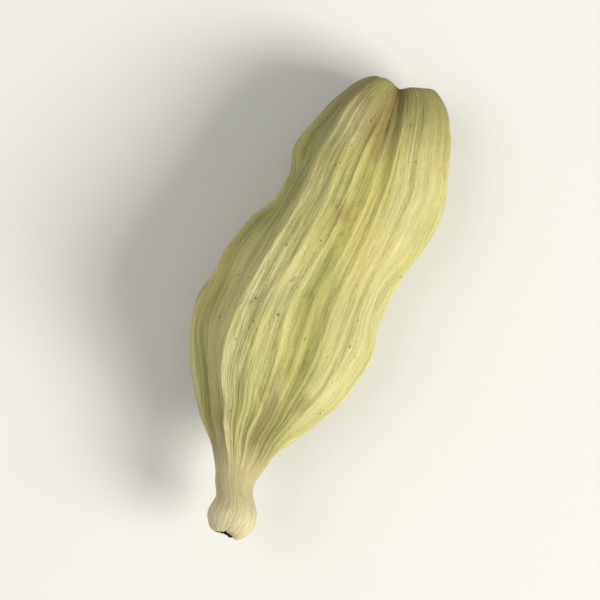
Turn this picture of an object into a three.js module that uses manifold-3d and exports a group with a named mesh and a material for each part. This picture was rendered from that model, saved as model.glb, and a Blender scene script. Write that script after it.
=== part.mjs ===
// Green cardamom pod: the dried fruit of Elettaria cardamomum, closed and whole.
// Units are millimetres and +Z is up. The pod lies on its side on a small flat spot, and X runs
// along it, from the narrow end with its pale hollow stub to the blunt end with its three lobes.
// One profile runs from the bottom of the stub's hollow, over the rim and along the husk, into
// the scar at the blunt end. Going round it, three ridges stand over the three seed chambers, a
// groove runs along each face between them, and the ribs and the swellings over the seeds are
// raised from it by formula.
import * as THREE from "three";
import Module from "manifold-3d";

// Driving dimensions
const LENGTH = 14.8; // rim of the stub to the blunt end, where the lobes run on a little
const FULL_RADIUS = 2.62; // mean half width where the husk is fullest
const FLATNESS = 0.96; // height over width of the husk
const FLAT_SPOT_DEPTH = 0.16; // how much of the underside the flat spot takes off
const HUSK_COLOUR = 0xb9b36c;

// The stub is what is left of the flower's tube: [distance from its rim, radius].
const STUB_PROFILE = [
  [0.85, 0],
  [0.78, 0.24],
  [0.12, 0.38],
  [0, 0.5],
  [0.1, 0.65],
  [0.55, 0.69],
  [1.1, 0.6],
  [1.65, 0.58],
];

// The husk: [share of the length, share of the full radius].
const HUSK_PROFILE = [
  [0.145, 0.275],
  [0.172, 0.335],
  [0.203, 0.43],
  [0.245, 0.575],
  [0.295, 0.74],
  [0.36, 0.915],
  [0.44, 1],
  [0.53, 0.955],
  [0.62, 0.915],
  [0.71, 0.89],
  [0.79, 0.86],
  [0.86, 0.755],
  [0.915, 0.65],
  [0.957, 0.54],
  [0.983, 0.4],
  [0.993, 0.25],
  [0.986, 0.12],
  [0.982, 0],
];
const ROWS_PER_SPAN = 2;

// The three ridges: where each stands, in degrees from +Y towards +Z, how far it lifts the husk
// as a share of the radius, how narrow it is, how many ribs lead on to the next ridge, where the
// groove between the two runs, and how far the ridge's lobe runs past the scar.
const RIDGES = [
  { angle: 66, lift: 0.2, narrowness: 6, ribs: 9, groove: 103, reach: 0.05 },
  { angle: 193, lift: 0.2, narrowness: 6, ribs: 9, groove: 267, reach: 0.34 },
  { angle: 342, lift: 0.18, narrowness: 5, ribs: 6, groove: 385, reach: 0.12 },
];
const TWIST = -22; // degrees that the ridges turn from one end of the pod to the other
const TWIST_CENTRE = 0.4; // share of the length where they have the angles above
const FACE_SINK = 0.2; // how far the faces lie in, as a share of each ridge's lift
const LOBE_GAIN = 0.6; // how much more the ridges stand out at the blunt end
const LOBE_NARROWNESS = 5;
const LOBE_NOTCH = 0.3; // how deep the grooves cut in between the lobes
const GROOVE_NARROWNESS = 14;
const GROOVE_DEPTH = { neck: 0.09, middle: 0.03, bluntEnd: 0.15 }; // as shares of the radius

const COLUMNS_PER_RIB = 5;
const RIB_HEIGHT = 0.085;
const WEAK_RIB = 0.6; // every second rib has this share of the height
const RIB_JITTER = 0.25; // of the spacing between two ribs
const HEIGHT_JITTER = 0.25;
const SEAM_HEIGHT = 0.06; // the rib on a ridge stands this much higher

const SEED_PITCH = 2.5; // along the pod
const SEED_SWELL = 0.08;
const SEED_ROW_ANGLE = 24; // either side of a ridge
const SEED_NARROWNESS = 16;

// The pod isn't straight: its belly lies towards +Y, and the stub is turned up a little.
const SWAY = 0.65;
const STUB_RISE = 0.1;
const PITCH = 2; // degrees that it leans towards its blunt end as it lies

// Stretches as shares of the length: from and to, or from, full, falling and to.
const RIDGES_START = [0.1, 0.3];
const LOBES_SWELL = [0.62, 0.97];
const LOBES_REACH_OUT = [0.86, 0.97];
const NECK_GROOVE = [0.12, 0.18, 0.24, 0.42];
const END_GROOVE = [0.74, 0.96];
const SEEDS = [0.2, 0.35, 0.8, 0.95];
const BELLY = [0.06, 0.34, 0.42, 0.82];
const STUB_TURN = [0.05, 0.4];
const RIBS_END = [0.9, 0.985];
// Stretches as shares of the full radius.
const RIBS_START = [0.2, 0.5];
const LOBES_LEAVE_SCAR = [0.1, 0.36];

const radians = THREE.MathUtils.degToRad;
const ramp = (value, [from, to]) => THREE.MathUtils.smoothstep(value, from, to);
const within = (value, [from, full, falling, to]) =>
  ramp(value, [from, full]) * (1 - ramp(value, [falling, to]));

// A repeatable draw between -1 and 1.
let drawState = 2711;
function draw() {
  drawState = (drawState * 16807) % 2147483647;
  return (2 * drawState) / 2147483647 - 1;
}

// A bump of height 1 at an angle of 0, going round.
const bump = (angle, narrowness) => Math.exp(narrowness * (Math.cos(angle) - 1));

// The share of the length that a place along the pod has, from 0 at the stub's rim.
const shareOf = (x) => THREE.MathUtils.clamp(x / LENGTH, 0, 1);

// Each rib's angle and height, all the way round, starting on the first ridge.
function placeRibs() {
  const ribs = [];
  RIDGES.forEach((ridge, i) => {
    const next = RIDGES[(i + 1) % RIDGES.length].angle;
    const span = (next - ridge.angle + 360) % 360;
    for (let j = 0; j < ridge.ribs; j++) {
      const shift = j === 0 ? 0 : RIB_JITTER * draw();
      const share = j % 2 === 0 ? 1 : WEAK_RIB;
      const seam = j === 0 ? SEAM_HEIGHT : 0;
      ribs.push({
        angle: radians(ridge.angle + (span * (j + shift)) / ridge.ribs),
        height: RIB_HEIGHT * share * (1 + HEIGHT_JITTER * draw()) + seam,
      });
    }
  });
  return ribs;
}

const ribs = placeRibs();
const columns = ribs.length * COLUMNS_PER_RIB;

// The angle of a place between two ribs, and how high the nearer rib stands there.
function alongRibs(column) {
  const i = Math.floor(column / COLUMNS_PER_RIB);
  const part = (column % COLUMNS_PER_RIB) / COLUMNS_PER_RIB;
  const rib = ribs[i];
  const next = ribs[(i + 1) % ribs.length];
  const gap = (next.angle - rib.angle + 2 * Math.PI) % (2 * Math.PI);
  const crest = Math.cos(Math.PI * part) ** 2;
  return {
    angle: rib.angle + part * gap,
    rise: crest * (part < 0.5 ? rib.height : next.height),
  };
}

// How far the husk is lifted by its ridges and sunk by its grooves, as a factor of the radius.
function crossSection(angle, share) {
  const strength = ramp(share, RIDGES_START) * (1 + LOBE_GAIN * ramp(share, LOBES_SWELL));
  const groove =
    GROOVE_DEPTH.neck * within(share, NECK_GROOVE) +
    GROOVE_DEPTH.middle * ramp(share, RIDGES_START) +
    GROOVE_DEPTH.bluntEnd * ramp(share, END_GROOVE);
  let factor = 1;
  for (const ridge of RIDGES) {
    const lift = bump(angle - radians(ridge.angle), ridge.narrowness) - FACE_SINK;
    factor += ridge.lift * strength * lift;
    factor -= groove * bump(angle - radians(ridge.groove), GROOVE_NARROWNESS);
  }
  return factor;
}

// How far the lobes carry the blunt end past its scar.
function lobeReach(angle, share, radius) {
  let reach = 0;
  for (const ridge of RIDGES) {
    reach += ridge.reach * bump(angle - radians(ridge.angle), LOBE_NARROWNESS);
    reach -= LOBE_NOTCH * bump(angle - radians(ridge.groove), GROOVE_NARROWNESS);
  }
  return reach * ramp(share, LOBES_REACH_OUT) * ramp(radius / FULL_RADIUS, LOBES_LEAVE_SCAR);
}

// The swellings over the two rows of seeds in each chamber.
function seedSwell(angle, share, x) {
  let height = 0;
  RIDGES.forEach((ridge, i) => {
    for (const side of [-1, 1]) {
      const across = bump(angle - radians(ridge.angle + side * SEED_ROW_ANGLE), SEED_NARROWNESS);
      const along = Math.cos((Math.PI * x) / SEED_PITCH + i + (side * Math.PI) / 4) ** 2;
      height += SEED_SWELL * across * along;
    }
  });
  return height * within(share, SEEDS);
}

const profile = new THREE.SplineCurve([
  ...STUB_PROFILE.map(([x, radius]) => new THREE.Vector2(x, radius)),
  ...HUSK_PROFILE.map(([x, radius]) => new THREE.Vector2(x * LENGTH, radius * FULL_RADIUS)),
]);
const rows = (profile.points.length - 1) * ROWS_PER_SPAN;

// The point of the surface on a row of the profile and a column round it.
function surfacePoint(row, column) {
  const at = profile.getPoint(row / rows);
  const tangent = profile.getTangent(row / rows);
  const share = shareOf(at.x);
  const { angle, rise } = alongRibs(column);
  const ribbed = ramp(at.y / FULL_RADIUS, RIBS_START) * (1 - ramp(share, RIBS_END));
  const height = rise * ribbed + seedSwell(angle, share, at.x);
  const radius = at.y * crossSection(angle, share) + height * tangent.x;
  const x = at.x - height * tangent.y + lobeReach(angle, share, at.y);
  const turned = angle + radians(TWIST) * (share - TWIST_CENTRE);
  const sway = SWAY * within(share, BELLY);
  const rising = STUB_RISE * (1 - ramp(share, STUB_TURN));
  return [x, radius * Math.cos(turned) + sway, FLATNESS * radius * Math.sin(turned) + rising];
}

// One closed skin: a fan at each end of the profile and a grid of rows and columns between.
function skin() {
  const positions = [...surfacePoint(0, 0), ...surfacePoint(rows, 0)];
  const faces = [];
  const index = (row, column) => 2 + (row - 1) * columns + (column % columns);
  for (let row = 1; row < rows; row++)
    for (let column = 0; column < columns; column++)
      positions.push(...surfacePoint(row, column));
  for (let column = 0; column < columns; column++) {
    faces.push(0, index(1, column + 1), index(1, column));
    faces.push(1, index(rows - 1, column), index(rows - 1, column + 1));
    for (let row = 1; row < rows - 1; row++) {
      const near = [index(row, column), index(row, column + 1)];
      const far = [index(row + 1, column), index(row + 1, column + 1)];
      faces.push(near[0], near[1], far[1], near[0], far[1], far[0]);
    }
  }
  return { positions, faces };
}

const wasm = await Module();
wasm.setup();

// A solid from flat lists of corners and faces, with corners at one place joined.
function solidFrom(positions, faces) {
  const mesh = new wasm.Mesh({
    numProp: 3,
    vertProperties: new Float32Array(positions),
    triVerts: new Uint32Array(faces),
  });
  mesh.merge();
  return new wasm.Manifold(mesh);
}

// A plain block from the floor down.
function blockBelowFloor(size) {
  const box = new THREE.BoxGeometry(size, size, size).translate(0, 0, -size / 2);
  return solidFrom(box.getAttribute("position").array, box.index.array);
}

// The pod with its lowest part cut flat, its origin under the middle of its bounding box.
function layOnFloor({ positions, faces }) {
  const whole = solidFrom(positions, faces).rotate([0, PITCH, 0]);
  const { min, max } = whole.boundingBox();
  const shift = [-(min[0] + max[0]) / 2, -(min[1] + max[1]) / 2, -min[2] - FLAT_SPOT_DEPTH];
  return whole.translate(shift).subtract(blockBelowFloor(4 * LENGTH));
}

function geometryOf(solid) {
  const { vertProperties, triVerts, numProp } = solid.getMesh();
  const geometry = new THREE.BufferGeometry();
  const positions = new THREE.InterleavedBuffer(vertProperties, numProp);
  geometry.setAttribute("position", new THREE.InterleavedBufferAttribute(positions, 3, 0));
  geometry.setIndex(new THREE.BufferAttribute(triVerts, 1));
  geometry.computeVertexNormals();
  return geometry;
}

const husk = new THREE.MeshStandardMaterial({ color: HUSK_COLOUR, roughness: 0.62, metalness: 0 });
const pod = new THREE.Mesh(geometryOf(layOnFloor(skin())), husk);
pod.name = "cardamom_pod";

const group = new THREE.Group();
group.name = "green_cardamom_pod";
group.add(pod);
export default group;
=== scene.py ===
"""Green cardamom pod: the look of the dried, closed fruit of Elettaria cardamomum.

The pod's skin follows the same profile, ridges, grooves and ribs as the CAD solid, with many more rows
and columns. It adds veins, fine lines, wrinkles, pits, shallow dents and an uneven rim. The camera looks
straight down on it. Lengths are millimetres until the mesh is made, and metres from there on.
"""
import math

import bpy
import numpy as np
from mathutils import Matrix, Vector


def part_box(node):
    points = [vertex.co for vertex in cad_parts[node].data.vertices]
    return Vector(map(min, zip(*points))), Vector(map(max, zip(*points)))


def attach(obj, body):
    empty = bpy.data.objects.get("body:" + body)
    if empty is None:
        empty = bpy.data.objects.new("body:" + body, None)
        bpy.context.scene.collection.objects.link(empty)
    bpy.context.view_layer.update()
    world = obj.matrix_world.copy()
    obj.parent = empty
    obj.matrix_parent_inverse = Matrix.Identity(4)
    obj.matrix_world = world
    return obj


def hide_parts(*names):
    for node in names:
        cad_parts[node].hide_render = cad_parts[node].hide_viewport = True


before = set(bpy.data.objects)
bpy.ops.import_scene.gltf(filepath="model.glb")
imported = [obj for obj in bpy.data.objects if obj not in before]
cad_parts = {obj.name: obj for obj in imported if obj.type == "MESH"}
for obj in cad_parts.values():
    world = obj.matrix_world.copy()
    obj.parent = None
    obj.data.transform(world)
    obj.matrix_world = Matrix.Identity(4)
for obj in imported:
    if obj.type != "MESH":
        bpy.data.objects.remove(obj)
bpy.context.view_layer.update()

MM = 0.001

# The form of the pod, with the values of the CAD solid
LENGTH = 14.8
FULL_RADIUS = 2.62
FLATNESS = 0.96
STUB_PROFILE = [
    (0.85, 0), (0.78, 0.24), (0.12, 0.38), (0, 0.5), (0.1, 0.65), (0.55, 0.69), (1.1, 0.6), (1.65, 0.58),
]
HUSK_PROFILE = [
    (0.145, 0.275), (0.172, 0.335), (0.203, 0.43), (0.245, 0.575), (0.295, 0.74), (0.36, 0.915),
    (0.44, 1), (0.53, 0.955), (0.62, 0.915), (0.71, 0.89), (0.79, 0.86), (0.86, 0.755),
    (0.915, 0.65), (0.957, 0.54), (0.983, 0.4), (0.993, 0.25), (0.986, 0.12), (0.982, 0),
]
RIDGES = [
    {"angle": 66, "lift": 0.2, "narrowness": 6, "ribs": 9, "groove": 103, "reach": 0.05},
    {"angle": 193, "lift": 0.2, "narrowness": 6, "ribs": 9, "groove": 267, "reach": 0.34},
    {"angle": 342, "lift": 0.18, "narrowness": 5, "ribs": 6, "groove": 385, "reach": 0.12},
]
TWIST = -22
TWIST_CENTRE = 0.4
FACE_SINK = 0.2
LOBE_GAIN = 0.6
LOBE_NARROWNESS = 5
LOBE_NOTCH = 0.3
GROOVE_NARROWNESS = 14
GROOVE_DEPTH = {"neck": 0.09, "middle": 0.03, "blunt end": 0.15}
RIB_COUNT = sum(ridge["ribs"] for ridge in RIDGES)
RIB_HEIGHT = 0.085
WEAK_RIB = 0.6
RIB_JITTER = 0.25
HEIGHT_JITTER = 0.25
SEAM_HEIGHT = 0.06
SEED_PITCH = 2.5
SEED_SWELL = 0.08
SEED_ROW_ANGLE = 24
SEED_NARROWNESS = 16
SWAY = 0.65
STUB_RISE = 0.1
PITCH = 2

# The repeatable draws that place the ribs
DRAWS_START = 2711
DRAWS_FACTOR = 16807
DRAWS_RANGE = 2**31 - 1

# Stretches as shares of the length: from and to, or from, full, falling and to
RIDGES_START = (0.1, 0.3)
LOBES_SWELL = (0.62, 0.97)
LOBES_REACH_OUT = (0.86, 0.97)
NECK_GROOVE = (0.12, 0.18, 0.24, 0.42)
END_GROOVE = (0.74, 0.96)
SEEDS = (0.2, 0.35, 0.8, 0.95)
BELLY = (0.06, 0.34, 0.42, 0.82)
STUB_TURN = (0.05, 0.4)
RIBS_END = (0.9, 0.985)
# Stretches as shares of the full radius
RIBS_START = (0.2, 0.5)
LOBES_LEAVE_SCAR = (0.1, 0.36)
DRY_SKIN_START = (0.15, 0.45)

# The finer skin
ROWS = 252
COLUMNS_PER_RIB = 15
PROFILE_STEPS = 6000  # in which the profile is measured, to space the rows evenly
HUSK_PLACE_RADIUS = 2.8  # of the tube on which the colours' noises are laid

# Veins, as shares of a rib's height unless something else is said
BROAD_RIB = 0.55
VEIN_SHARE = 0.6
VEIN_NARROWNESS = 14  # the power that draws each rib to a vein
VEIN_WANDER = 0.05  # radians
MINOR_VEIN = 0.3  # in the middle of each valley
MINOR_VEIN_LEVEL = 0.5  # how strong minor veins are where their ripples are 0
MINOR_VEIN_COLOUR = 0.6  # of what a vein does to the colour
HALF_RIB = 0.13  # radians

# Relief of the dried skin
LINE_HEIGHT = 0.016
WRINKLE_HEIGHT = 0.026
WRINKLE_LEVEL = 0.25  # how wrinkled the skin is where the ripples of its shrunken places are 0
WRINKLES_LOST_ON_CRESTS = 0.7
LUMP_HEIGHT = 0.045
PIT_DEPTH = 0.09
PIT_LEVEL = 0.66  # the level of their ripples over which pits form

# Ripples: cells round the pod, millimetres along it from one to the next, seed and strength
RIPPLED_LENGTH = 30  # more than the pod's
RIPPLES = {
    "veins": (RIB_COUNT, 2.1, 21, 0.45),
    "fine veins": (72, 0.6, 22, 0.15),
    "minor veins": (RIB_COUNT, 3.1, 23, 1),
    "wandering veins": (12, 2.4, 24, 1),
    "lines": (170, 2.6, 11, 1),
    "fine lines": (110, 1.1, 12, 0.6),
    "wrinkles": (50, 0.34, 13, 1),
    "shrunken places": (10, 1.7, 16, 1),
    "lumps": (9, 1.9, 14, 1),
    "small lumps": (22, 0.9, 17, 0.4),
    "pits": (60, 0.28, 15, 1),
    "rim": (9, 3, 31, 1),
    "fine rim": (40, 3, 32, 0.35),
}

# The stub and the neck of this pod
RIM_SHARE = 0.02  # of the length, along which the stub's rim is uneven
RIM_UNEVENNESS = 0.07
RIM_ROUNDED = 0.045  # of the length, along which the stub narrows to its rim
RIM_ROUNDING = 0.35  # of the radius, by which it does
STUB_FULLNESS = 0.08
FULL_STUB = (0, 0.03, 0.14, 0.24)
STUB_SWAY = 0.16
SWAYED_STUB = (0.05, 0.13)
NECK_SWAY = 0.15
SWAYED_NECK = (0.06, 0.1, 0.2, 0.27)
NECK_TURNS = [(60, -9), (116, 8)]  # degrees round the pod, and degrees that the skin there is turned
TURN_NARROWNESS = 8
TURNED_NECK = (0.12, 0.18, 0.22, 0.52)

# Its fullest lobe, and the wear along its ridges, which gets less towards the blunt end
FULL_LOBE = 142
FULL_LOBE_NARROWNESS = 12
LOBE_FULLNESS = 0.09
WORN_NARROWNESS = 34
WORN_LESS = (0.5, 0.66)  # the stretch of the length along which the wear gets less
WORN_LEFT = 0.5  # the share of it that is left

# Places on the husk: degrees round it, narrowness, the stretch of the length, and strength
NECK = (0.15, 0.23, 0.28, 0.37)
LOBES = (0.78, 0.92, 1.1, 1.2)
BELLY_TOP = (0.28, 0.38, 0.54, 0.66)
# Pale places. Two of them are painted light: the band at 155 degrees is a painted highlight along the edge
# that faces the key light, and the place at 34 degrees lightens a side near the neck that faces away from it.
PALE_AND_LIT_PLACES = [
    (155, 13, (0.16, 0.3, 0.86, 0.96), 1), (320, 9, (0.3, 0.45, 0.6, 0.8), 1),
    (76, 70, (0.78, 0.86, 0.92, 0.97), 0.9), (85, 70, BELLY_TOP, 0.45),
    (34, 16, (0.14, 0.2, 0.3, 0.44), 0.9), (46, 14, (0.46, 0.52, 0.58, 0.64), 0.5),
    (104, 50, (0.2, 0.26, 0.3, 0.36), 0.4), (62, 70, (0.34, 0.4, 0.5, 0.58), 0.45),
]
# Greener, darker places. The ones at 44 and 40 degrees are painted shade on the upper left of the waist,
# where shadow falls.
GREEN_AND_SHADED_PLACES = [
    (44, 10, (0.54, 0.64, 0.84, 0.96), 1.1), (208, 8, (0.25, 0.4, 0.55, 0.8), 1),
    (285, 6, (0.55, 0.7, 0.8, 0.95), 1), (60, 60, (0.76, 0.84, 0.92, 0.97), 0.8),
    (40, 60, (0.53, 0.57, 0.6, 0.64), 0.7), (104, 50, BELLY_TOP, 0.35),
    (126, 60, (0.3, 0.38, 0.5, 0.6), 0.9),
]
# Stained places. The three along the grooves between the lobes are partly brown stains and partly painted
# shade in those grooves.
STAINED_AND_SHADED_PLACES = [
    (103, 40, LOBES, 1), (267, 26, LOBES, 1), (385, 26, LOBES, 1), (258, 34, NECK, 0.6),
    (88, 60, (0.76, 0.86, 0.92, 0.96), 0.5), (118, 60, (0.17, 0.22, 0.26, 0.3), 0.4),
    (138, 60, (0.27, 0.295, 0.315, 0.34), 0.6),
]
# The strength of a dent is its depth
DENTS = [
    (178, 9, (0.44, 0.52, 0.58, 0.7), 0.3), (3, 6, (0.24, 0.34, 0.48, 0.56), 0.24),
    (14, 8, (0.6, 0.68, 0.75, 0.84), 0.34), (172, 6, (0.15, 0.23, 0.26, 0.34), 0.12),
    (250, 14, (0.35, 0.45, 0.5, 0.62), 0.12), (300, 12, (0.6, 0.68, 0.74, 0.84), 0.12),
    (352, 8, (0.63, 0.69, 0.74, 0.8), 0.3),
]

# Colours of the husk and the floor, as sRGB values from 0 to 255
COLOURS = {
    "tissue": (128, 132, 62),
    "yellow tissue": (162, 156, 77),
    "green tissue": (112, 120, 60),
    "straw": (186, 182, 110),
    "warm straw": (196, 187, 110),
    "green straw": (160, 160, 96),
    # Worn pale skin, also the colour of the painted highlight along the edge that faces the key light
    "bleached_and_lit": (196, 189, 128),
    "most bleached": (217, 210, 154),
    # Duller, browner blunt end, also darkened as painted shade
    "blunt end": (140, 132, 78),
    "bruise": (124, 104, 54),
    # Brown of the stains, also used as painted shade in the grooves between the lobes
    "stain_and_shade": (140, 122, 66),
    "speck": (98, 78, 42),
    "cream": (198, 184, 128),
    "pale cream": (232, 219, 166),
    # Painted light on the stub's rim
    "rim": (248, 237, 190),
    # Painted shade inside the stub's hollow
    "hollow": (74, 54, 32),
    "scar": (84, 60, 32),
    "floor": (226, 225, 220),
}

# Noises of the husk: how much each is drawn out along it, as a factor of its lengthwise scale, and
# then scale, detail and roughness
NOISES = {
    "patches": (1, 0.34, 3, 0.5),
    "bruises": (0.45, 0.62, 4, 0.5),
    "mottling": (1, 1.5, 5, 0.66),
    "streaks": (0.14, 1.7, 3, 0.5),
    "specks": (0.6, 3.3, 2, 0.5),
    "dots": (0.7, 6.7, 1, 0.5),
    "fibres": (0.06, 9, 4, 0.65),
    "grain": (1, 15, 3, 0.6),
}
# What the mesh holds at each point for the colours
MARKS = ("share", "radius", "crest", "vein", "ridge", "stain_and_shade", "pale", "green", "hollow")
# How far the relief of the noises stands out, and what is the same all over the husk
HUSK_RELIEF = 0.09 * MM
HUSK_SURFACE = {
    "Specular IOR Level": 0.4,
    "Subsurface Weight": 0.1,
    "Subsurface Radius": (1.0, 0.85, 0.35),
    "Subsurface Scale": 0.3 * MM,
}

# The photograph's view: the camera looks straight down, with the pod leaning to the right
LEAN_IN_VIEW = math.radians(22)
VIEW_WIDTH = 18.6 * MM
CAMERA_HEIGHT = 150 * MM
CAMERA_REACH = 10
UP = (math.cos(LEAN_IN_VIEW), math.sin(LEAN_IN_VIEW))
RIGHT = (math.sin(LEAN_IN_VIEW), -math.cos(LEAN_IN_VIEW))

# The studio: a light's place is given by the view's right and up and its height, and its power in watts
KEY_LIGHT = {"place": (160, -70, 130), "size": 110, "power": 0.54, "colour": (1.0, 0.985, 0.945)}
FILL_LIGHT = {"place": (-140, 40, 190), "size": 160, "power": 0.15, "colour": (1, 1, 1)}
WORLD_COLOUR = (1.0, 0.99, 0.96, 1)
WORLD_STRENGTH = 0.38
FLOOR_HALF_WIDTH = 400
FLOOR_LEVEL = -0.01
FLOOR_ROUGHNESS = 0.8


def ramp(value, stretch):
    """0 before the stretch, 1 after it and a smooth rise between."""
    part = np.clip((value - stretch[0]) / (stretch[1] - stretch[0]), 0, 1)
    return part * part * (3 - 2 * part)


def within(value, stretch):
    """0 outside the stretch of four, 1 in its middle."""
    return ramp(value, stretch[:2]) * (1 - ramp(value, stretch[2:]))


def bump(angle, narrowness):
    """A bump of height 1 at an angle of 0, going round."""
    return np.exp(narrowness * (np.cos(angle) - 1))


def draws():
    """The repeatable draws between -1 and 1 that place the ribs."""
    state = DRAWS_START
    while True:
        state = state * DRAWS_FACTOR % DRAWS_RANGE
        yield 2 * state / DRAWS_RANGE - 1


def place_ribs():
    """Each rib's angle and height, all the way round, starting on the first ridge."""
    draw = draws()
    angles = []
    heights = []
    for i, ridge in enumerate(RIDGES):
        span = (RIDGES[(i + 1) % len(RIDGES)]["angle"] - ridge["angle"]) % 360
        for j in range(ridge["ribs"]):
            shift = RIB_JITTER * next(draw) if j else 0
            share = WEAK_RIB if j % 2 else 1
            seam = 0 if j else SEAM_HEIGHT
            angles.append(math.radians(ridge["angle"] + span * (j + shift) / ridge["ribs"]))
            heights.append(RIB_HEIGHT * share * (1 + HEIGHT_JITTER * next(draw)) + seam)
    return np.array(angles), np.array(heights)


def along_ribs(column, angles, heights):
    """For a column, counted in ribs: its angle, the crest there from 0 to 1, and its height."""
    i = np.floor(column).astype(int) % len(angles)
    part = column - np.floor(column)
    following = (i + 1) % len(angles)
    gap = (angles[following] - angles[i]) % (2 * math.pi)
    crest = np.cos(math.pi * part) ** 2
    height = np.where(part < 0.5, heights[i], heights[following])
    return angles[i] + part * gap, crest, height


def profile(t):
    """The place and the direction of the profile's curve at t, from 0 to 1."""
    husk = [(x * LENGTH, radius * FULL_RADIUS) for x, radius in HUSK_PROFILE]
    points = np.array(STUB_PROFILE + husk, float)
    last = len(points) - 1
    i = np.minimum(np.floor(t * last).astype(int), last - 1)
    w = (t * last - i)[:, None]
    before, here = points[np.maximum(i - 1, 0)], points[i]
    after, beyond = points[i + 1], points[np.minimum(i + 2, last)]
    leaving, arriving = (after - before) / 2, (beyond - here) / 2
    cubic = 2 * here - 2 * after + leaving + arriving
    square = -3 * here + 3 * after - 2 * leaving - arriving
    place = ((cubic * w + square) * w + leaving) * w + here
    slope = (3 * cubic * w + 2 * square) * w + leaving
    return place, slope / np.linalg.norm(slope, axis=1)[:, None]


def even_rows(count):
    """Values of t that space the rows evenly along the profile."""
    fine = np.linspace(0, 1, PROFILE_STEPS)
    place, _ = profile(fine)
    travelled = np.concatenate([[0], np.cumsum(np.linalg.norm(np.diff(place, axis=0), axis=1))])
    return np.interp(np.linspace(0, travelled[-1], count), travelled, fine)


def rim_row(t):
    """The row on the stub's rim, which is among the first third of the rows, coming out of its hollow."""
    place, _ = profile(t)
    return int(np.argmin(place[: len(t) // 3, 0]))


def ripples(angle, along, name):
    """Named smooth noise, between -1 and 1 times its strength, that closes on itself round the pod. Its
    lattice starts a cell before the stub's rim."""
    cells, pitch, seed, strength = RIPPLES[name]
    rows = int(RIPPLED_LENGTH / pitch) + 3
    lattice = np.random.default_rng(seed).uniform(-1, 1, (rows, cells))
    u = angle / (2 * math.pi) * cells
    v = along / pitch + 1
    i, j = np.floor(u).astype(int), np.floor(v).astype(int)
    du, dv = ramp(u - i, (0, 1)), ramp(v - j, (0, 1))
    near = lattice[j, i % cells] * (1 - du) + lattice[j, (i + 1) % cells] * du
    far = lattice[j + 1, i % cells] * (1 - du) + lattice[j + 1, (i + 1) % cells] * du
    return strength * (near * (1 - dv) + far * dv)


def ridge_bumps(angle, narrowness):
    """How near a place is to the nearest ridge, from 0 to 1."""
    return sum(bump(angle - math.radians(ridge["angle"]), narrowness) for ridge in RIDGES)


def groove_bumps(angle, narrowness):
    """How near a place is to the nearest groove, from 0 to 1."""
    return sum(bump(angle - math.radians(ridge["groove"]), narrowness) for ridge in RIDGES)


def groove_depth(share):
    """The depth of the grooves as a share of the radius."""
    return (
        GROOVE_DEPTH["neck"] * within(share, NECK_GROOVE)
        + GROOVE_DEPTH["middle"] * ramp(share, RIDGES_START)
        + GROOVE_DEPTH["blunt end"] * ramp(share, END_GROOVE)
    )


def places(angle, share, marked):
    """The summed strength of the marked places at a spot."""
    summed = 0
    for degrees, narrowness, stretch, strength in marked:
        there = bump(angle - math.radians(degrees), narrowness)
        summed = summed + strength * there * within(share, stretch)
    return summed


def cross_section(angle, share):
    """How far the husk is lifted by its ridges and sunk by its grooves, as a factor of the radius."""
    strength = ramp(share, RIDGES_START) * (1 + LOBE_GAIN * ramp(share, LOBES_SWELL))
    factor = 1 - groove_depth(share) * groove_bumps(angle, GROOVE_NARROWNESS)
    for ridge in RIDGES:
        lift = bump(angle - math.radians(ridge["angle"]), ridge["narrowness"]) - FACE_SINK
        factor = factor + ridge["lift"] * strength * lift
    return factor


def lobe_reach(angle, share, radius):
    """How far the lobes carry the blunt end past its scar."""
    reach = -LOBE_NOTCH * groove_bumps(angle, GROOVE_NARROWNESS)
    for ridge in RIDGES:
        reach = reach + ridge["reach"] * bump(angle - math.radians(ridge["angle"]), LOBE_NARROWNESS)
    return reach * ramp(share, LOBES_REACH_OUT) * ramp(radius / FULL_RADIUS, LOBES_LEAVE_SCAR)


def full_lobe_reach(angle, share, radius):
    """How much further the fullest lobe reaches."""
    full = bump(angle - math.radians(FULL_LOBE), FULL_LOBE_NARROWNESS) * ramp(share, LOBES_REACH_OUT)
    return LOBE_FULLNESS * full * ramp(radius / FULL_RADIUS, LOBES_LEAVE_SCAR)


def seed_swell(angle, share, x):
    """The swellings over the two rows of seeds in each chamber."""
    height = 0
    for i, ridge in enumerate(RIDGES):
        for side in (-1, 1):
            across = bump(angle - math.radians(ridge["angle"] + side * SEED_ROW_ANGLE), SEED_NARROWNESS)
            along = np.cos(math.pi * x / SEED_PITCH + i + side * math.pi / 4) ** 2
            height = height + SEED_SWELL * across * along
    return height * within(share, SEEDS)


def veins(column, x, height, ribbed):
    """The ribs of the dried husk, as their rise and their part in the colour: a narrow vein on each and
    a fainter one in each valley, both uneven."""
    part = column - np.floor(column)
    on_rib = column * 2 * math.pi / RIB_COUNT
    broad = np.cos(math.pi * part) ** 2
    narrow = np.abs(np.cos(math.pi * part)) ** VEIN_NARROWNESS
    minor = np.abs(np.sin(math.pi * part)) ** (2 * VEIN_NARROWNESS)
    uneven = 1 + ripples(on_rib, x, "veins") + ripples(on_rib, x, "fine veins")
    faint = np.clip(MINOR_VEIN_LEVEL + ripples(on_rib + HALF_RIB, x, "minor veins"), 0, 1)
    rise = BROAD_RIB * broad + VEIN_SHARE * narrow * uneven + MINOR_VEIN * minor * faint
    vein = np.maximum(narrow * np.clip(uneven, 0, 1), MINOR_VEIN_COLOUR * minor * faint)
    return rise * height * ribbed, vein * ribbed


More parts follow.
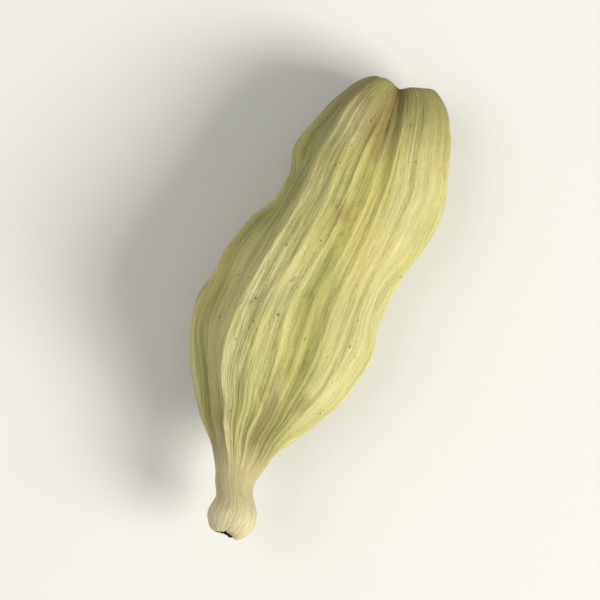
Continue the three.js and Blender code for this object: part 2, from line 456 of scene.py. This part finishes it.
def dry_skin(angle, x, crest):
    """The low relief of the dried husk: fine lines along it, cross wrinkles, lumps and pits."""
    lines = ripples(angle, x, "lines") + ripples(angle, x, "fine lines")
    shrunk = np.clip(ripples(angle, x, "shrunken places") + WRINKLE_LEVEL, 0, 1)
    wrinkles = ripples(angle, x, "wrinkles") * (1 - WRINKLES_LOST_ON_CRESTS * crest) * shrunk
    lumps = ripples(angle, x, "lumps") + ripples(angle, x, "small lumps")
    pits = np.clip(ripples(angle, x, "pits") - PIT_LEVEL, 0, 1)
    return LINE_HEIGHT * lines + WRINKLE_HEIGHT * wrinkles + LUMP_HEIGHT * lumps - PIT_DEPTH * pits


def rim_reach(angle, share, x):
    """How far the stub's rim is uneven along the pod."""
    uneven = ripples(angle, x, "rim") + ripples(angle, x, "fine rim")
    return RIM_UNEVENNESS * uneven * (1 - ramp(share, (0, RIM_SHARE)))


def rounded_stub(share):
    """The stub's fullness and the rounding of its rim, as a factor of the radius."""
    from_rim = 1 - np.clip(share / RIM_ROUNDED, 0, 1)
    rounding = 1 - np.sqrt(1 - from_rim**2)
    return (1 - RIM_ROUNDING * rounding) * (1 + STUB_FULLNESS * within(share, FULL_STUB))


def neck_turn(angle, share):
    """How far the skin is turned near the neck, in radians, where a ridge and a groove draw apart."""
    turn = 0
    for degrees, turned in NECK_TURNS:
        turn = turn + math.radians(turned) * bump(angle - math.radians(degrees), TURN_NARROWNESS)
    return turn * within(share, TURNED_NECK)


def rotated_down(points):
    """The points with the pod leant towards its blunt end, as it lies."""
    lean = math.radians(PITCH)
    x, y, z = np.moveaxis(points, -1, 0)
    along = x * math.cos(lean) + z * math.sin(lean)
    up = z * math.cos(lean) - x * math.sin(lean)
    return np.stack([along, y, up], -1)


def laid_down(along, around, angle, share, fine):
    """The points for places along the pod and around it, with its twist, its bends and its lean."""
    sway = SWAY * within(share, BELLY)
    turn = math.radians(TWIST) * (share - TWIST_CENTRE)
    if fine:
        sway = sway - STUB_SWAY * (1 - ramp(share, SWAYED_STUB)) + NECK_SWAY * within(share, SWAYED_NECK)
        turn = turn + neck_turn(angle, share)
    y = around * np.cos(angle + turn) + sway
    z = FLATNESS * around * np.sin(angle + turn) + STUB_RISE * (1 - ramp(share, STUB_TURN))
    return rotated_down(np.stack([along, y, z], -1))


def worn_ridges(angle, share):
    """How worn the skin is: along the ridges, and less towards the blunt end."""
    return ridge_bumps(angle, WORN_NARROWNESS) * (1 - (1 - WORN_LEFT) * ramp(share, WORN_LESS))


def husk_place(angle, x):
    """Where a spot of the husk lies on an even tube, so that the noises keep their scale."""
    y = HUSK_PLACE_RADIUS * np.cos(angle)
    z = HUSK_PLACE_RADIUS * np.sin(angle)
    return np.stack(np.broadcast_arrays(y, z, x), -1)


def skin(t, column, fine):
    """The skin's points and what its colours need, for the rows at t and the columns, in ribs. Without
    the fine part it follows the CAD solid's formula."""
    place, direction = profile(t)
    x, radius = place[:, :1], place[:, 1:]
    angle, crest, rib_height = along_ribs(column[None, :], *place_ribs())
    share = np.clip(x / LENGTH, 0, 1)
    ribbed = ramp(radius / FULL_RADIUS, RIBS_START) * (1 - ramp(share, RIBS_END))
    rise = crest * rib_height * ribbed
    vein = crest * ribbed
    reach = 0
    if fine:
        angle = angle + VEIN_WANDER * ribbed * ripples(angle, x, "wandering veins")
        rise, vein = veins(column[None, :], x, rib_height, ribbed)
        rise = rise + dry_skin(angle, x, crest) * ramp(radius / FULL_RADIUS, DRY_SKIN_START)
        rise = rise - places(angle, share, DENTS)
        reach = rim_reach(angle, share, x) + full_lobe_reach(angle, share, radius)
    height = rise + seed_swell(angle, share, x)
    reach = reach + lobe_reach(angle, share, radius)
    around = radius * cross_section(angle, share) + height * direction[:, :1]
    if fine:
        around = around * rounded_stub(share)
    along = x - height * direction[:, 1:] + reach
    points = laid_down(along, around, angle, share, fine)
    marks = {
        "share": share,
        "radius": radius / FULL_RADIUS,
        "crest": crest * ribbed,
        "vein": vein,
        "ridge": worn_ridges(angle, share) * ribbed,
        "stain_and_shade": places(angle, share, STAINED_AND_SHADED_PLACES),
        "pale": places(angle, share, PALE_AND_LIT_PLACES),
        "green": places(angle, share, GREEN_AND_SHADED_PLACES),
        "hollow": (np.arange(len(t)) < rim_row(t))[:, None],
    }
    return points, marks, husk_place(angle, x)


def fitted(points, plain):
    """The points moved so that the plain skin's box meets the CAD solid's, flat underneath."""
    low, high = (np.array(corner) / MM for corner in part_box("cardamom_pod"))
    shift = (low + high) / 2 - (plain.min((0, 1)) + plain.max((0, 1))) / 2
    shift[2] = high[2] - plain[..., 2].max()
    moved = points + shift
    moved[..., 2] = np.maximum(moved[..., 2], 0)
    return moved


def as_points(grid):
    """One value for the whole first row and one for the last, then each value of the rows between."""
    inner = grid[1:-1].reshape(-1, *grid.shape[2:])
    return np.concatenate([grid[:1].mean(1), grid[-1:].mean(1), inner])


def skin_faces(columns):
    """The four-sided faces between the rows, and a fan of three-sided ones at each end."""
    index = 2 + np.arange((ROWS - 1) * columns).reshape(ROWS - 1, columns)
    beside = np.roll(index, -1, axis=1)
    quads = np.stack([index[:-1], beside[:-1], beside[1:], index[1:]], -1).reshape(-1, 4)
    first = [(0, b, a) for a, b in zip(index[0].tolist(), beside[0].tolist())]
    last = [(1, a, b) for a, b in zip(index[-1].tolist(), beside[-1].tolist())]
    return quads.tolist() + first + last


def make_pod():
    """The pod's skin as one closed mesh, with the marks that its colours need."""
    t = even_rows(ROWS + 1)
    columns = RIB_COUNT * COLUMNS_PER_RIB
    column = np.arange(columns) / COLUMNS_PER_RIB
    plain, _, _ = skin(t, column, fine=False)
    points, marks, place = skin(t, column, fine=True)
    points = fitted(points, plain) * MM
    mesh = bpy.data.meshes.new("pod_skin")
    mesh.from_pydata(as_points(points).tolist(), [], skin_faces(columns))
    mesh.shade_smooth()
    for name in MARKS:
        grid = np.broadcast_to(marks[name], points.shape[:2])
        layer = mesh.attributes.new(name, "FLOAT", "POINT")
        layer.data.foreach_set("value", as_points(grid).astype(np.float32))
    layer = mesh.attributes.new("husk_place", "FLOAT_VECTOR", "POINT")
    layer.data.foreach_set("vector", as_points(place).astype(np.float32).ravel())
    pod = bpy.data.objects.new("pod_skin", mesh)
    bpy.context.collection.objects.link(pod)
    return pod


def linear(*srgb):
    """A colour given as sRGB values from 0 to 255, in the renderer's linear values."""
    parts = [c / 255 for c in srgb]
    return [p / 12.92 if p <= 0.04045 else ((p + 0.055) / 1.055) ** 2.4 for p in parts] + [1]


class Nodes:
    """A short way to lay out a material's nodes."""

    def __init__(self, name):
        self.material = bpy.data.materials.new(name)
        self.material.use_nodes = True
        self.tree = self.material.node_tree
        self.shader = self.tree.nodes["Principled BSDF"]

    def add(self, kind, settings=None, **inputs):
        """A new node, with its settings and what its inputs get."""
        node = self.tree.nodes.new(kind)
        for key, value in (settings or {}).items():
            setattr(node, key, value)
        for key, value in inputs.items():
            self.put(node.inputs[key.replace("_", " ")], value)
        return node

    def put(self, socket, value):
        """Gives a socket another node's output, one of the named colours, or a plain value."""
        if isinstance(value, bpy.types.NodeSocket):
            self.tree.links.new(value, socket)
        elif isinstance(value, str):
            socket.default_value = linear(*COLOURS[value])
        else:
            socket.default_value = value

    def attribute(self, name, output="Fac"):
        """What the mesh holds under a name."""
        return self.add("ShaderNodeAttribute", {"attribute_name": name}).outputs[output]

    def noise(self, vector, drawn_out, scale, detail, roughness):
        """Noise that is drawn out along the pod."""
        stretched = self.add("ShaderNodeVectorMath", {"operation": "MULTIPLY"})
        self.put(stretched.inputs[0], vector)
        self.put(stretched.inputs[1], (1, 1, drawn_out))
        node = self.add(
            "ShaderNodeTexNoise", Vector=stretched.outputs[0], Scale=scale, Detail=detail, Roughness=roughness
        )
        return node.outputs["Fac"]

    def remap(self, value, low, high, to_low=0.0, to_high=1.0):
        """The value from low to high, as a smooth change between the other two."""
        node = self.add("ShaderNodeMapRange", {"interpolation_type": "SMOOTHSTEP"}, Value=value)
        for key, number in zip(("From Min", "From Max", "To Min", "To Max"), (low, high, to_low, to_high)):
            node.inputs[key].default_value = number
        return node.outputs["Result"]

    def math(self, operation, a, b):
        """Two values joined by a mathematical operation."""
        node = self.add("ShaderNodeMath", {"operation": operation})
        self.put(node.inputs[0], a)
        self.put(node.inputs[1], b)
        return node.outputs[0]

    def times(self, a, b):
        """The product of two values."""
        return self.math("MULTIPLY", a, b)

    def total(self, first, *others):
        """The sum of all the values."""
        summed = first
        for value in others:
            summed = self.math("ADD", summed, value)
        return summed

    def mix(self, factor, a, b):
        """Colour a where the factor is 0, and b where it is 1."""
        node = self.add("ShaderNodeMix", {"data_type": "RGBA"})
        self.put(node.inputs["Factor"], factor)
        self.put(node.inputs[6], a)
        self.put(node.inputs[7], b)
        return node.outputs[2]


def veined(n, noise, mark):
    """Straw-coloured veins over greener tissue. The valleys between the ribs are darker, partly as painted
    shade, and the pale and green places are partly painted light and painted shade.
    """
    patches = n.remap(noise["patches"], 0.4, 0.6)
    # The green places that darken the tissue and the straw are partly painted shade.
    greener = n.total(n.remap(noise["mottling"], 0.48, 0.7, 0, 0.7), n.times(mark["green"], 0.7))
    tissue = n.mix(greener, n.mix(patches, "tissue", "yellow tissue"), "green tissue")
    straw = n.mix(n.times(mark["green"], 0.6), n.mix(patches, "straw", "warm straw"), "green straw")
    paleness = n.total(
        # Paler on the rib crests and darker in the valleys: the pale veins are the husk's own, the darker
        # valleys are partly painted shade.
        n.times(mark["crest"], 0.3),
        n.remap(noise["streaks"], 0.34, 0.68, 0.05, 0.6),
        n.remap(noise["fibres"], 0.3, 0.7, -0.24, 0.28),
        n.times(mark["vein"], 0.32),
        # The pale places here are partly painted light.
        n.times(mark["pale"], 0.5),
    )
    return n.mix(paleness, tissue, straw)


def bleached_and_lit(n, noise, mark, colour):
    """The colour with its worn ridges and pale places turned paler. The pale places are partly painted light:
    a painted highlight along the edge that faces the key light, and a painted lift of a side near the neck
    that faces away from it.
    """
    ridges = n.times(mark["ridge"], n.remap(noise["fibres"], 0.35, 0.65, 0.25, 0.95))
    pale = n.times(mark["pale"], n.remap(noise["streaks"], 0.3, 0.6, 0.3, 0.85))
    bleach_and_light = n.mix(n.remap(noise["fibres"], 0.3, 0.7), "bleached_and_lit", "most bleached")
    return n.mix(n.math("MAXIMUM", ridges, pale), colour, bleach_and_light)


def browned(n, noise, mark, colour):
    """The colour with a browner, darker blunt end that is partly painted shade, bruises, stains with painted
    shade in the grooves between the lobes, and small specks.
    """
    # Darker towards the blunt end: partly its own browner skin, partly painted shade on the lobes.
    colour = n.mix(n.remap(mark["share"], 0.82, 0.97, 0, 0.65), colour, "blunt end")
    colour = n.mix(n.remap(noise["bruises"], 0.6, 0.7, 0, 0.5), colour, "bruise")
    stains_and_shade = n.times(mark["stain_and_shade"], n.remap(noise["mottling"], 0.3, 0.6, 0.5, 0.95))
    colour = n.mix(stains_and_shade, colour, "stain_and_shade")
    specks = n.math("MAXIMUM", n.remap(noise["specks"], 0.73, 0.81), n.remap(noise["dots"], 0.735, 0.78))
    return n.mix(n.times(specks, 0.65), colour, "speck")


def with_ends(n, noise, mark, colour):
    """The colour with the cream stub, its rim lightened as painted light, its hollow darkened as painted
    shade, and the scar at the blunt end.
    """
    cream = n.mix(n.remap(noise["fibres"], 0.3, 0.7), "cream", "pale cream")
    # Painted light: the cream gets lighter towards the rim, which faces away from the key light.
    cream = n.mix(n.remap(mark["share"], 0.09, 0.03, 0, 0.6), cream, "rim")
    edge = n.total(mark["share"], n.times(n.total(noise["mottling"], noise["fibres"]), 0.06))
    colour = n.mix(n.remap(edge, 0.29, 0.17), colour, cream)
    # Painted shade: the inside of the stub's hollow is dark brown.
    colour = n.mix(mark["hollow"], colour, "hollow")
    scar = n.times(n.remap(mark["share"], 0.975, 0.985), n.remap(mark["radius"], 0.2, 0.09))
    return n.mix(scar, colour, "scar")


def husk_material():
    """Dry papery husk: veined, worn pale and stained, with painted light and painted shade in places, dull,
    and a little translucent.
    """
    n = Nodes("husk")
    place = n.attribute("husk_place", "Vector")
    noise = {name: n.noise(place, *values) for name, values in NOISES.items()}
    mark = {name: n.attribute(name) for name in MARKS}
    colour = bleached_and_lit(n, noise, mark, veined(n, noise, mark))
    colour = with_ends(n, noise, mark, browned(n, noise, mark, colour))
    roughness = n.total(n.remap(noise["grain"], 0.3, 0.7, 0.5, 0.66), n.times(mark["crest"], -0.06))
    height = n.total(noise["fibres"], n.times(noise["grain"], 0.4), n.times(noise["mottling"], 0.6))
    relief = n.add("ShaderNodeBump", Height=height, Strength=1.0, Distance=HUSK_RELIEF)
    n.put(n.shader.inputs["Base Color"], colour)
    n.put(n.shader.inputs["Roughness"], roughness)
    n.put(n.shader.inputs["Normal"], relief.outputs["Normal"])
    for name, value in HUSK_SURFACE.items():
        n.put(n.shader.inputs[name], value)
    return n.material


def floor_material():
    """A plain pale surface."""
    n = Nodes("floor")
    n.put(n.shader.inputs["Base Color"], "floor")
    n.put(n.shader.inputs["Roughness"], FLOOR_ROUGHNESS)
    return n.material


def make_camera():
    """The camera over the pod, with the pod's length leaning to the right in its view."""
    data = bpy.data.cameras.new("camera")
    data.lens = data.sensor_width * CAMERA_HEIGHT / VIEW_WIDTH
    data.clip_start = MM
    data.clip_end = CAMERA_REACH
    camera = bpy.data.objects.new("camera", data)
    camera.location = (0, 0, CAMERA_HEIGHT)
    camera.rotation_euler = (0, 0, LEAN_IN_VIEW - math.pi / 2)
    bpy.context.collection.objects.link(camera)
    bpy.context.scene.camera = camera


def make_light(name, place, size, power, colour):
    """A soft square light at a place in the view, pointed at the pod."""
    data = bpy.data.lights.new(name, "AREA")
    data.size = size * MM
    data.energy = power
    data.color = colour
    light = bpy.data.objects.new(name, data)
    right, up, height = place
    light.location = [MM * (right * RIGHT[i] + up * UP[i]) for i in (0, 1)] + [MM * height]
    light.rotation_euler = light.location.to_track_quat("Z", "Y").to_euler()
    bpy.context.collection.objects.link(light)


def make_floor():
    """The plain floor just under the pod."""
    half = FLOOR_HALF_WIDTH * MM
    level = FLOOR_LEVEL * MM
    corners = [(-half, -half, level), (half, -half, level), (half, half, level), (-half, half, level)]
    mesh = bpy.data.meshes.new("floor")
    mesh.from_pydata(corners, [], [(0, 1, 2, 3)])
    floor = bpy.data.objects.new("floor", mesh)
    mesh.materials.append(floor_material())
    bpy.context.collection.objects.link(floor)


def make_world():
    """The even light from all round."""
    world = bpy.data.worlds.new("studio")
    bpy.context.scene.world = world
    world.use_nodes = True
    background = world.node_tree.nodes["Background"]
    background.inputs["Color"].default_value = WORLD_COLOUR
    background.inputs["Strength"].default_value = WORLD_STRENGTH


pod = make_pod()
pod.data.materials.append(husk_material())
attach(pod, "root")
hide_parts("cardamom_pod")

make_floor()
make_world()
make_light("key", **KEY_LIGHT)
make_light("fill", **FILL_LIGHT)
make_camera()
bpy.context.scene.view_settings.view_transform = "Standard"
